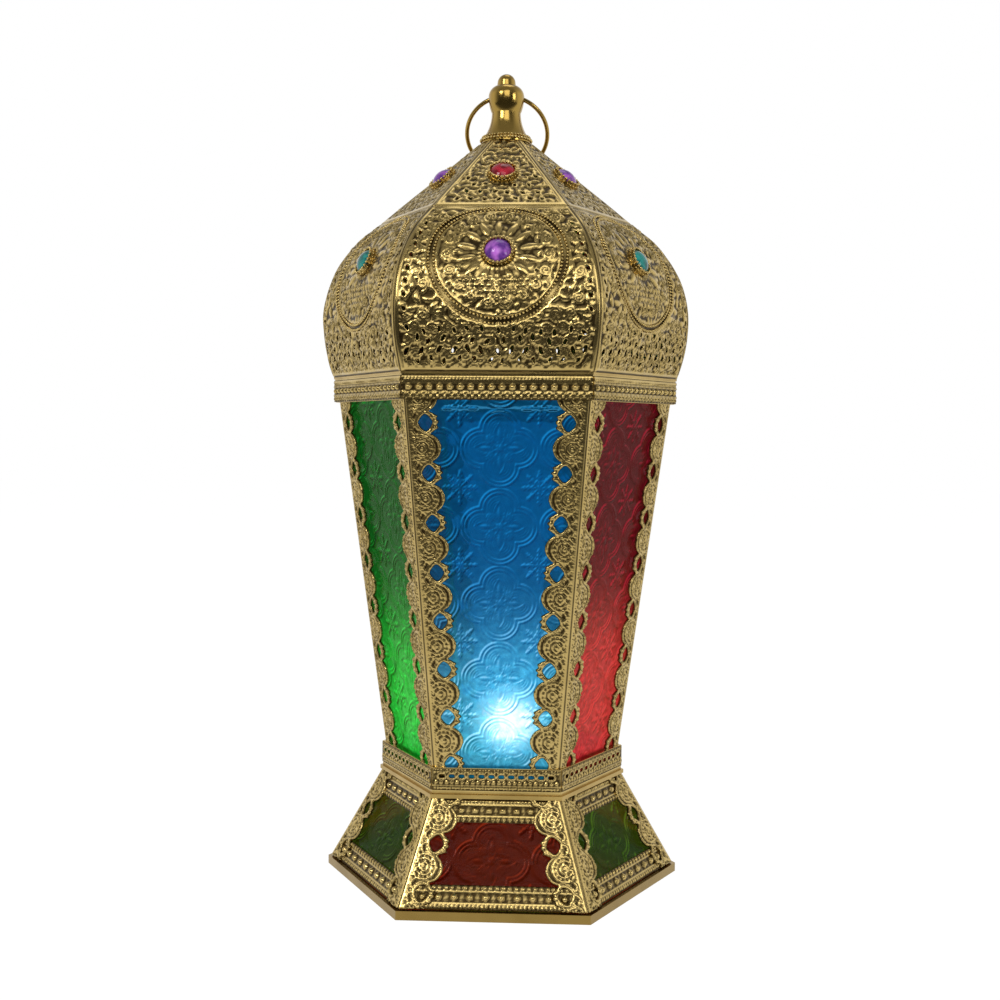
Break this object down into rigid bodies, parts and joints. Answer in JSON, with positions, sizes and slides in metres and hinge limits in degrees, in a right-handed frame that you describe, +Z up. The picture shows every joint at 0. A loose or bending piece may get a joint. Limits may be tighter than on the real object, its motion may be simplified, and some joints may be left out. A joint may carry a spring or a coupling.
{
  "type": "candle lantern",
  "caption": "Hexagonal candle lantern with pierced brass lace, coloured pattern-glass panes, an onion dome set with glass gems, a carrying ring and a rear door.",
  "frame": {"origin": "bottom centre of the base, on the surface it stands on", "axes": "+Z up, front pane faces -Y, rear door in the +Y side, +X to the right seen from the front"},
  "size_m": [0.156, 0.136, 0.3402],
  "materials": {
    "brass_plain": "thin brassed sheet, aged, satin",
    "brass_lace": "embossed and pierced brassed sheet, antique, dark in the hollows",
    "brass_turned": "turned brass, satin",
    "glass_blue": "deep blue embossed pattern glass",
    "glass_green": "green embossed pattern glass",
    "glass_red": "crimson embossed pattern glass",
    "glass_base_red": "dark red embossed pattern glass",
    "glass_base_green": "dark green embossed pattern glass",
    "gem_purple": "purple glass cabochon, polished",
    "gem_teal": "teal glass cabochon, polished",
    "gem_red": "red glass cabochon, polished",
    "light_plastic": "white moulded plastic",
    "flame_plastic": "milky lens, lit cool white",
    "switch_plastic": "black moulded plastic"
  },
  "bodies": {
    "root": {"base_rim": "brass_plain", "bottom_plate": "brass_plain", "base_neck_ring": "brass_plain", "base_corner_posts": "brass_plain", "floor_plate": "brass_plain", "dome_seat": "brass_plain", "corner_posts": "brass_plain", "finial_stud": "brass_plain", "finial_washer": "brass_plain", "finial_nut": "brass_plain", "hinge_frame_knuckles": "brass_plain", "hinge_pins": "brass_plain", "button_rivet": "brass_plain", "candle_cup": "brass_plain", "base_corner_strips": "brass_lace", "base_bead_strips": "brass_lace", "lower_band": "brass_lace", "upper_band": "brass_lace", "corner_strip_front_right": "brass_lace", "corner_strip_right": "brass_lace", "corner_strip_left": "brass_lace", "corner_strip_front_left": "brass_lace", "corner_half_strips": "brass_lace", "dome_petal_front": "brass_lace", "dome_petal_front_right": "brass_lace", "dome_petal_back_right": "brass_lace", "dome_petal_back": "brass_lace", "dome_petal_back_left": "brass_lace", "dome_petal_front_left": "brass_lace", "crown_petal_front": "brass_lace", "crown_petal_front_right": "brass_lace", "crown_petal_back_right": "brass_lace", "crown_petal_back": "brass_lace", "crown_petal_back_left": "brass_lace", "crown_petal_front_left": "brass_lace", "gem_bezels": "brass_lace", "finial": "brass_turned", "pane_front": "glass_blue", "pane_front_left": "glass_green", "pane_back_right": "glass_green", "pane_front_right": "glass_red", "pane_back_left": "glass_red", "base_pane_front": "glass_base_red", "base_pane_back_right": "glass_base_red", "base_pane_back_left": "glass_base_red", "base_pane_front_right": "glass_base_green", "base_pane_back": "glass_base_green", "base_pane_front_left": "glass_base_green", "gems_purple": "gem_purple", "gems_teal": "gem_teal", "gems_red": "gem_red"},
    "door": {"door_frame": "brass_plain", "door_pane": "glass_blue", "door_strips": "brass_lace", "hinge_door_knuckles": "brass_plain"},
    "button": {"turn_button": "brass_plain"},
    "ring": {"carry_ring": "brass_turned"},
    "tealight": {"tealight_case": "light_plastic", "tealight_flame": "flame_plastic"},
    "switch": {"tealight_switch": "switch_plastic"}
  },
  "joints": [
    {"name": "ring_swing", "type": "hinge", "parent": "root", "child": "ring", "pos_m": [0, 0, 0.3297], "axis": [1, 0, 0], "range_deg": [0, 284]},
    {"name": "door_hinge", "type": "hinge", "parent": "root", "child": "door", "pos_m": [0.02756, 0.04894, 0.08126], "axis": [-0.0686, -0.1188, -0.9905], "range_deg": [0, 105]},
    {"name": "button_turn", "type": "hinge", "parent": "root", "child": "button", "pos_m": [0, 0.0627, 0.2047], "axis": [0, 1, 0], "range_deg": [0, 90]},
    {"name": "candle_lift", "type": "slide", "parent": "root", "child": "tealight", "axis": [0, 0, 1], "range_m": [0, 0.012]},
    {"name": "switch_slide", "type": "slide", "parent": "tealight", "child": "switch", "axis": [1, 0, 0], "range_m": [0, 0.0025]}
  ]
}
